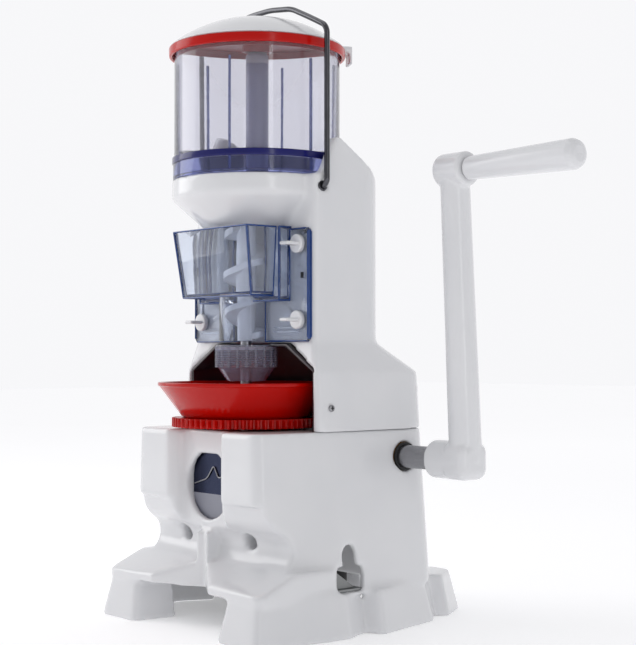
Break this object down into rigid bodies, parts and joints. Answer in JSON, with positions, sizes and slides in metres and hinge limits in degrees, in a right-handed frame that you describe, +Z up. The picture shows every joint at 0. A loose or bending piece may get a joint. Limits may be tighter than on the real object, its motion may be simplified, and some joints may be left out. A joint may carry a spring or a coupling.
{
  "type": "hand-cranked shaved ice machine",
  "caption": "Upright hand-cranked shaved ice machine: clear hopper with lid and bail, feed screw behind a clear chute, toothed turning bowl on a white housing with feet.",
  "frame": {"origin": "on the bench, under the hopper's axis", "axes": "+X towards the crank, -Y to the front, +Z up"},
  "size_m": [0.4338, 0.268, 0.5445],
  "materials": {
    "white_plastic": "moulded gloss white plastic",
    "red_plastic": "moulded gloss red plastic",
    "dark_red_plastic": "moulded dark red plastic",
    "maroon_plastic": "dark maroon plastic",
    "clear_plastic": "clear moulded polycarbonate",
    "blue_clear_plastic": "clear blue polycarbonate",
    "navy_plastic": "navy plastic",
    "grey_plastic": "grey plastic",
    "steel": "turned steel",
    "chrome_wire": "plated wire",
    "bronze": "sintered bronze",
    "rubber": "black rubber"
  },
  "bodies": {
    "root": {"base_housing": "white_plastic", "column_housing": "white_plastic", "splash_liner": "maroon_plastic", "rear_cover": "white_plastic", "gear_cover": "white_plastic", "cover_screws": "steel", "cheek_screws": "steel", "gear_frame": "steel", "lay_bushes": "bronze", "spindle_bushes": "bronze", "crank_bushes": "bronze", "shaft_seal": "rubber", "bearing_can": "grey_plastic", "window_plate": "steel", "can_clip": "chrome_wire", "anchor_bracket_right": "steel", "anchor_bracket_left": "steel", "foot_pads": "rubber", "clear_chute": "blue_clear_plastic", "ribbed_nozzle": "clear_plastic", "hopper": "clear_plastic", "hopper_ring": "navy_plastic", "centre_post": "grey_plastic", "post_cap": "grey_plastic", "bail_eyelets": "chrome_wire"},
    "crank": {"crank_shaft": "steel", "crank_arm": "white_plastic", "crank_set_screw": "steel", "grip_pin": "steel", "crank_bevel": "steel"},
    "grip": {"grip": "white_plastic"},
    "layshaft": {"lay_shaft": "steel", "lay_bevel": "steel", "pinion": "grey_plastic"},
    "turntable": {"bowl": "red_plastic", "bowl_ring": "red_plastic", "spindle": "steel", "auger": "white_plastic", "shaving_blades": "steel"},
    "lid": {"lid_dome": "white_plastic", "lid_ring": "red_plastic", "lid_liner": "dark_red_plastic"},
    "bail": {"bail": "chrome_wire"},
    "screw_1": {"thumb_screw_1": "white_plastic"},
    "screw_2": {"thumb_screw_2": "white_plastic"},
    "screw_3": {"thumb_screw_3": "white_plastic"},
    "screw_4": {"thumb_screw_4": "white_plastic"}
  },
  "joints": [
    {"name": "crank_spin", "type": "hinge", "parent": "root", "child": "crank", "pos_m": [0.1, 0.088, 0.146], "axis": [1, 0, 0], "continuous": true},
    {"name": "grip_spin", "type": "hinge", "parent": "crank", "child": "grip", "pos_m": [0.173, 0.07523, 0.38967], "axis": [1, 0, 0], "continuous": true},
    {"name": "layshaft_spin", "type": "hinge", "parent": "root", "child": "layshaft", "pos_m": [0, 0.088, 0.14], "axis": [0, 0, 1], "continuous": true},
    {"name": "bowl_spin", "type": "hinge", "parent": "root", "child": "turntable", "pos_m": [0, -0.012, 0.17], "axis": [0, 0, 1], "continuous": true},
    {"name": "bail_swing", "type": "hinge", "parent": "root", "child": "bail", "pos_m": [0, 0.004, 0.379], "axis": [-1, 0, 0], "range_deg": [0, 115]},
    {"name": "lid_lift", "type": "slide", "parent": "root", "child": "lid", "axis": [0, 0, 1], "range_m": [0, 0.0185]},
    {"name": "thumb_screw_1_turn", "type": "hinge", "parent": "root", "child": "screw_1", "pos_m": [-0.07, -0.012, 0.33], "axis": [0, -1, 0], "continuous": true},
    {"name": "thumb_screw_2_turn", "type": "hinge", "parent": "root", "child": "screw_2", "pos_m": [0.07, -0.012, 0.33], "axis": [0, -1, 0], "continuous": true},
    {"name": "thumb_screw_3_turn", "type": "hinge", "parent": "root", "child": "screw_3", "pos_m": [-0.07, -0.012, 0.265], "axis": [0, -1, 0], "continuous": true},
    {"name": "thumb_screw_4_turn", "type": "hinge", "parent": "root", "child": "screw_4", "pos_m": [0.07, -0.012, 0.265], "axis": [0, -1, 0], "continuous": true}
  ],
  "couplings": [
    {"joint": "layshaft_spin", "follows": "crank_spin", "ratio": 1},
    {"joint": "bowl_spin", "follows": "crank_spin", "ratio": -0.5625},
    {"joint": "lid_lift", "follows": "bail_swing", "m_per_rad": 0.0092079}
  ]
}
